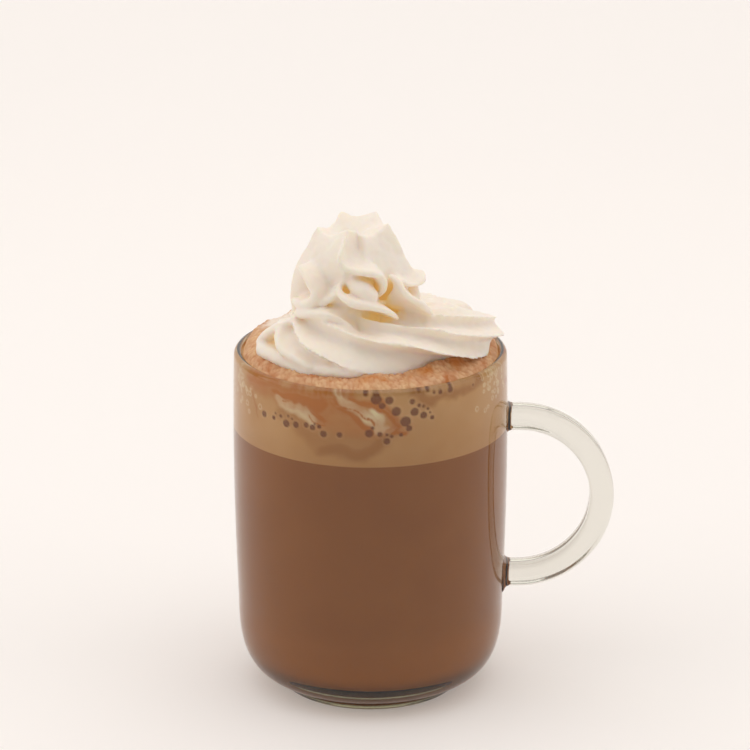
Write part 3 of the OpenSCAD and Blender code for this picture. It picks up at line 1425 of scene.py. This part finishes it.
    def crown(self) -> bpy.types.Object:
        """Make the crown: upright crests with hollow faces between, open like a tulip on top.

        Returns:
            A closed object.
        """
        around = np.arange(180) * 2.0 + self.petals[0].stations[0][0]
        levels = np.linspace(0, 1, self.crown_levels)
        stations = [curve_through(np.array(petal.stations), len(levels)) for petal in self.petals]
        stations.append(stations[0] + np.array([360.0, 0.0, 0.0]))
        rings = []
        for k, level in enumerate(levels):
            angles = np.array([rows[k][0] for rows in stations])
            turn = (around - angles[0]) % 360 + angles[0]
            j = np.clip(np.searchsorted(angles, turn, side="right") - 1, 0, len(self.petals) - 1)
            share = (turn - angles[j]) / (angles[j + 1] - angles[j])
            even = share * share * (3 - 2 * share)
            radius = np.array([rows[k][1] for rows in stations])
            height = np.array([rows[k][2] for rows in stations])
            hollow = np.array([petal.hollow for petal in self.petals])[j]
            sag = np.array([petal.sag for petal in self.petals])[j]
            bow = np.sin(math.pi * share)
            r = (radius[j] + (radius[j + 1] - radius[j]) * even) * (1 - hollow * bow**0.85)
            z = height[j] + (height[j + 1] - height[j]) * even - sag * bow * level**3
            for dent in self.dents:
                beside = turn_from(turn, dent.at) / dent.half_w
                above = (z - dent.height) / dent.half_h
                r = r - dent.depth * np.exp(-((beside**2 + above**2) ** 1.5))
            a = np.radians(turn)
            rings.append(np.stack([self.crown_x + r * np.cos(a), r * np.sin(a), z], axis=1))
        # The top sinks into a shallow cup.
        top = rings[-1]
        middle = np.array([self.crown_x - 0.6, 0.0, top[:, 2].mean() - self.cup_depth])
        for share in (0.93, 0.84, 0.66, 0.42, 0.15):
            inner = middle + (top - middle) * np.array([share, share, share**0.6 if share < 0.9 else 0.99])
            rings.append(inner)
        return loft("cream_crown", [[tuple(p * MM) for p in ring] for ring in rings])

    def blade(self, crest: Crest) -> bpy.types.Object:
        """Make one lip: thin and round at its edge, spreading with hollow sides into the body.

        Args:
            crest: The lip to make.

        Returns:
            A closed object.
        """
        path = curve_through(np.array(crest.points), 10 * len(crest.points))
        run = np.gradient(path, axis=0)
        run /= np.linalg.norm(run, axis=1)[:, None]
        inward = np.stack([self.crown_x - path[:, 0], -path[:, 1], np.zeros(len(path))], axis=1)
        inward /= np.linalg.norm(inward, axis=1)[:, None] + 1e-9
        inward = inward * crest.depth + np.array([0, 0, crest.lift])
        inward -= run * np.sum(inward * run, axis=1)[:, None]
        inward /= np.linalg.norm(inward, axis=1)[:, None]
        across = np.cross(run, inward)
        reach = math.hypot(crest.depth, crest.lift)
        shares = np.linspace(1, 0, 9)
        tip_turns = np.linspace(0, math.pi, 9)[1:-1]
        rings = []
        for i, place in enumerate(path):
            u = i / (len(path) - 1)
            fade = math.sqrt(max(1 - abs(2 * u - 1) ** 5, 0.02))
            tip = crest.tip * fade
            half = [(crest.tip + (crest.width - crest.tip) * s**1.6) * fade for s in shares]
            loop = [place + inward[i] * reach * s + across[i] * h for s, h in zip(shares, half)]
            loop += [
                place - inward[i] * tip * math.sin(a) + across[i] * tip * math.cos(a) for a in tip_turns
            ]
            loop += [
                place + inward[i] * reach * s - across[i] * h
                for s, h in zip(shares[::-1], half[::-1])
            ]
            rings.append([tuple(p * MM) for p in loop])
        return loft(crest.name, rings)

    def turned(self, crest: Crest, degrees: float, lift: float, out: float) -> Crest:
        """Return a like lip elsewhere round the crown.

        Args:
            crest: The lip to copy.
            degrees: How far round the crown's axis it goes.
            lift: How much higher it sits, in millimetres.
            out: How many times as far from the axis it lies.

        Returns:
            The new lip.
        """
        a = math.radians(degrees)
        points = []
        for x, y, z in crest.points:
            x = (x - self.crown_x) * out
            y = y * out
            points.append(
                (
                    self.crown_x + x * math.cos(a) - y * math.sin(a),
                    x * math.sin(a) + y * math.cos(a),
                    z + lift,
                )
            )
        return replace(crest, name=f"back_{crest.name}", points=tuple(points))

    def crests(self) -> list[Crest]:
        """List the lips of the crown: those in front, and like ones round the back.

        Returns:
            Every lip.
        """
        front = self.front_crests()
        named = {crest.name: crest for crest in front}
        back = (
            ("middle_fold", 166, -3.5, 0.8),
            ("eye_lip", 158, 1.0, 0.86),
            ("right_thumb", 122, -1.0, 0.88),
            ("shoulder_ridge", 188, 0.5, 0.84),
            ("left_hem", 150, 2.0, 0.92),
        )
        return list(front) + [self.turned(named[name], *how) for name, *how in back]

    @staticmethod
    def front_crests() -> tuple[Crest, ...]:
        """List the lips that curl out of the front of the crown and the ring.

        Returns:
            The lips, from the top down.
        """
        return (
            Crest(
                "middle_fold",
                ((-7, -14.6, 141.6), (-8.2, -18.2, 138.4), (-8.7, -19.8, 135.5), (-7.3, -20.2, 133.6),
                 (-4.2, -19.6, 132.4), (-0.9, -20.1, 132.1), (2.1, -20.2, 131.5), (3.7, -19.6, 130.0),
                 (4.0, -18.6, 127.6), (2.9, -17.2, 125), (0.8, -15.8, 123.4)),
                depth=6.5, width=2.1, lift=0, tip=0.95,
            ),
            Crest(
                "eye_lip",
                ((-7.4, -16, 128.4), (-8.9, -18.8, 127.4), (-8.6, -21.0, 126.0), (-6.9, -22.3, 124.7),
                 (-4.6, -22.8, 123.8), (-1.5, -23.1, 123.2), (2.8, -22.8, 122.2), (5.7, -21.8, 120.8),
                 (8.2, -20, 118.4)),
                depth=9, width=2.6, lift=-0.5, tip=1.1,
            ),
            Crest(
                "eye_tongue",
                ((-5.8, -16, 128.2), (-3.2, -18.8, 127.4), (-0.6, -19.8, 125.8), (0.9, -18.8, 123.8)),
                depth=7, width=3.4, lift=0, tip=2.3,
            ),
            Crest(
                "left_hook",
                ((-20.6, -8.6, 131.2), (-18.3, -12, 129.6), (-16.6, -14, 127.4), (-15.4, -15.4, 125.2),
                 (-15.8, -16, 123), (-17.8, -15.6, 121.4), (-20.4, -12.8, 120.8), (-22.4, -8.2, 120.9)),
                depth=6, width=3.0, lift=0, tip=1.6,
            ),
            Crest(
                "left_hem",
                ((-16.5, -15.8, 122.4), (-13.8, -16.4, 122.4), (-11.4, -16.8, 123.5), (-9.4, -17.4, 125.6)),
                depth=7, width=2.2, lift=2, tip=1.0,
            ),
            Crest(
                "right_thumb",
                ((5.2, -14.6, 129.8), (7.6, -16.9, 129.0), (9.1, -18.2, 127.0), (10.8, -18.7, 124.8),
                 (14.2, -18.2, 122.4), (18.2, -16.6, 118.6)),
                depth=8, width=3.4, lift=0, tip=1.2,
            ),
            Crest(
                "right_hem",
                ((14.6, -3, 127.8), (15.3, -7.4, 126.5), (13.6, -10.4, 125.8), (11, -12.8, 126.5),
                 (8.8, -14.2, 128.3)),
                depth=8, width=2.2, lift=2, tip=0.8,
            ),
            Crest(
                "shoulder_ridge",
                ((-21.8, -12.4, 118.2), (-20, -16, 118.6), (-16.6, -18.8, 119.5), (-12.6, -20.2, 119.5),
                 (-8.3, -21, 118.3), (-4.3, -22.6, 115)),
                depth=8, width=3.0, lift=-1, tip=1.1,
            ),
            Crest(
                "left_finger",
                ((-32.2, -3, 105.6), (-32.0, -7, 107.6), (-30.2, -11.4, 111.2), (-26.6, -14.6, 114.3),
                 (-22.6, -15.6, 116.6)),
                depth=11, width=4.6, lift=0, tip=1.3,
            ),
            Crest(
                "second_finger",
                ((-24.4, -14.4, 115.6), (-26.2, -17.4, 112.6), (-25, -20.9, 109.8), (-21.4, -24.2, 107.9),
                 (-16.6, -27.4, 105.8)),
                depth=10, width=3.8, lift=0, tip=1.4,
            ),
            Crest(
                "back_right_lump",
                ((12, 13, 107.2), (18.5, 13.6, 107.3), (24.4, 12.6, 107.3), (28, 9.6, 107)),
                depth=5, width=7.4, lift=0, tip=7.0,
            ),
            Crest(
                "front_skirt",
                ((-20, -22.6, 105.4), (-14.4, -26.2, 105.3), (-8.2, -28.6, 105.4), (-1.5, -29.2, 105.6)),
                depth=10, width=4.0, lift=0, tip=1.9,
            ),
            Crest(
                "left_skirt",
                ((-30.6, -4, 105.4), (-30.4, -10, 106.2), (-27, -16.4, 106), (-21.4, -22.3, 105.4),
                 (-15.6, -27, 104.6)),
                depth=10, width=4.2, lift=0, tip=2.6,
            ),
        )

    def build(self) -> bpy.types.Object:
        """Make the cream as one skin round its ring, crown and lips.

        Returns:
            The piece.
        """
        parts = [self.ring(), self.crown()]
        parts += [self.blade(crest) for crest in self.crests()]
        piece = join("cream_swirl", parts)
        voxel = self.voxel * 1.0
        apply_modifier(piece, "REMESH", mode="VOXEL", voxel_size=voxel * MM)
        self.settle(piece)
        self.soften(piece, fill=7, even=3)
        self.roughen(piece)
        # Fold depth, which the cream's material paints as yellow shade and glow.
        store(piece, "hollow", self.hollows(piece))
        bpy.ops.object.shade_smooth()
        dress(piece, WhippedCreamFinish().build())
        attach(piece, "root")
        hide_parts("whipped_cream")
        return piece

    def settle(self, piece: bpy.types.Object) -> None:
        """Flatten the cream onto its bed of foam.

        Args:
            piece: The cream.
        """
        places = points_of(piece)
        places[:, 2] = np.maximum(places[:, 2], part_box("whipped_cream")[0][2] - 0.5 * MM)
        place_points(piece, places)

    def roughen(self, piece: bpy.types.Object) -> None:
        """Give the cream the slow unevenness of something soft, and a fine grain.

        Args:
            piece: The cream.
        """
        places = points_of(piece)
        normals = normals_of(piece)
        lift = 0.35 * wander(places, 7.0, 8) + 0.10 * wander(places, 1.8, 9)
        place_points(piece, places + normals * (lift * MM)[:, None])

    def soften(self, piece: bpy.types.Object, fill: int, even: int) -> None:
        """Round the creases between folds while the crests stay crisp.

        Args:
            piece: The cream.
            fill: How many passes raise hollow points only.
            even: How many light passes even out every point.
        """
        near = Neighbours(piece)
        for step in range(fill + even):
            places = points_of(piece)
            pull = near.mean(places) - places
            if step < fill:
                outward = np.sum(pull * normals_of(piece), axis=1)
                pull = pull * (outward > 0)[:, None] * 0.8
            else:
                pull = pull * 0.5
            place_points(piece, places + pull)

    def hollows(self, piece: bpy.types.Object) -> np.ndarray:
        """Work out how deep each point lies in a fold, by looking out from it several ways; the cream's
        material paints this as yellow shade and glow.

        Args:
            piece: The cream.

        Returns:
            A depth from 0 to 1 at each point.
        """
        near = Neighbours(piece)
        places = points_of(piece)
        normals = normals_of(piece)
        faces = [tuple(face.vertices) for face in piece.data.polygons]
        tree = BVHTree.FromPolygons([tuple(p) for p in places], faces)
        looks = []
        for k in range(self.looks):
            a, up = k * self.look_turn, 0.15 + 0.8 * (k + 0.5) / self.looks
            out = math.sqrt(1 - up * up)
            looks.append((Vector((out * math.cos(a), out * math.sin(a), 0.0)), up))
        blocked = np.zeros(len(places))
        for i, (place, normal) in enumerate(zip(places, normals)):
            axis = Vector(normal)
            start = Vector(place) + axis * 0.2 * MM
            spin = axis.to_track_quat("Z", "Y")
            for flat, up in looks:
                way = spin @ flat + axis * up
                if tree.ray_cast(start, way, self.look_far * MM)[0] is not None:
                    blocked[i] += 1 / self.looks
        rows = blocked[:, None]
        for _ in range(self.fold_passes):
            rows = 0.5 * rows + 0.5 * near.mean(rows)
        return ease(rows[:, 0], self.fold_from, 1.0)


# ---------------------------------------------------------------- the studio


@dataclass
class Studio:
    """A white paper sweep, soft lamps and the camera. Sizes in metres."""

    camera_at: Point = (0.00134, -0.83336, 0.37369)
    look_down: float = 18.49
    lens_mm: float = 143.66
    sweep_w: float = 2.4
    sweep_front: float = -1.0
    sweep_back: float = 0.9
    sweep_h: float = 1.6
    bend_r: float = 0.35
    paper_drop: float = 0.05 * MM
    room_light: float = 0.43
    room_colour: str = "f4f0ee"

    def camera(self) -> None:
        """Place the camera."""
        data = bpy.data.cameras.new("camera")
        data.lens = self.lens_mm
        data.sensor_width = 36.0
        item = bpy.data.objects.new("camera", data)
        item.location = self.camera_at
        item.rotation_euler = (math.radians(90 - self.look_down), 0, 0)
        bpy.context.scene.collection.objects.link(item)
        bpy.context.scene.camera = item

    def sweep(self) -> bpy.types.Object:
        """Make the paper: a floor that bends up into a backdrop.

        Returns:
            The piece.
        """
        bend_y = self.sweep_back - self.bend_r
        low = -self.paper_drop
        profile = [(self.sweep_front, low), (0.0, low), (bend_y, low)]
        profile += [
            (bend_y + self.bend_r * math.sin(a), low + self.bend_r * (1 - math.cos(a)))
            for a in np.linspace(0, math.pi / 2, 17)[1:]
        ]
        profile.append((self.sweep_back, self.sweep_h))
        half = self.sweep_w / 2
        piece = add_loop("paper_sweep", [(-half, y, z) for y, z in profile], closed=False)
        start_edit()
        bpy.ops.mesh.extrude_region_move(TRANSFORM_OT_translate={"value": (self.sweep_w, 0, 0)})
        bpy.ops.object.mode_set(mode="OBJECT")
        smooth(piece, 60)
        dress(piece, StudioPaper().build())
        return piece

    def lamp(self, name: str, at: Point, aim: Point, size: float, power: float, colour: str) -> None:
        """Add one square soft lamp.

        Args:
            name: Name of the lamp.
            at: Where it hangs.
            aim: The point it faces.
            size: Length of its side.
            power: Watts.
            colour: sRGB hex colour.
        """
        data = bpy.data.lights.new(name, "AREA")
        data.size = size
        data.energy = power
        data.color = linear(colour)[:3]
        item = bpy.data.objects.new(name, data)
        item.location = at
        item.rotation_euler = (Vector(aim) - Vector(at)).to_track_quat("-Z", "Y").to_euler()
        bpy.context.scene.collection.objects.link(item)

    def build(self) -> None:
        """Set up the camera, the paper, the lamps and the room's own faint light."""
        self.camera()
        self.sweep()
        self.lamp("top_softbox", (0, 0, 1.3), aim=(0, 0, 0), size=1.6, power=8.2, colour="fffdfc")
        for name, side, power in (("left_softbox", -1, 4.1), ("right_softbox", 1, 3.5)):
            at = (side * 1.1, -0.2, 0.62)
            self.lamp(name, at, aim=(0, 0, 0.06), size=1.15, power=power, colour="fffcfa")
        world = bpy.data.worlds.new("room")
        world.use_nodes = True
        background = world.node_tree.nodes["Background"]
        background.inputs["Color"].default_value = linear(self.room_colour)
        background.inputs["Strength"].default_value = self.room_light
        bpy.context.scene.world = world
        bpy.context.scene.view_settings.view_transform = "Standard"


def main() -> None:
    logging.basicConfig(level=logging.INFO, format="%(name)s: %(message)s")
    Studio().build()
    mug = GlassMug()
    for maker in (mug, Drink(mug), MilkFoam(mug), CreamSwirl()):
        piece = maker.build()
        log.info("%s: %d faces", piece.name, len(piece.data.polygons))


if __name__ == "__main__":
    main()
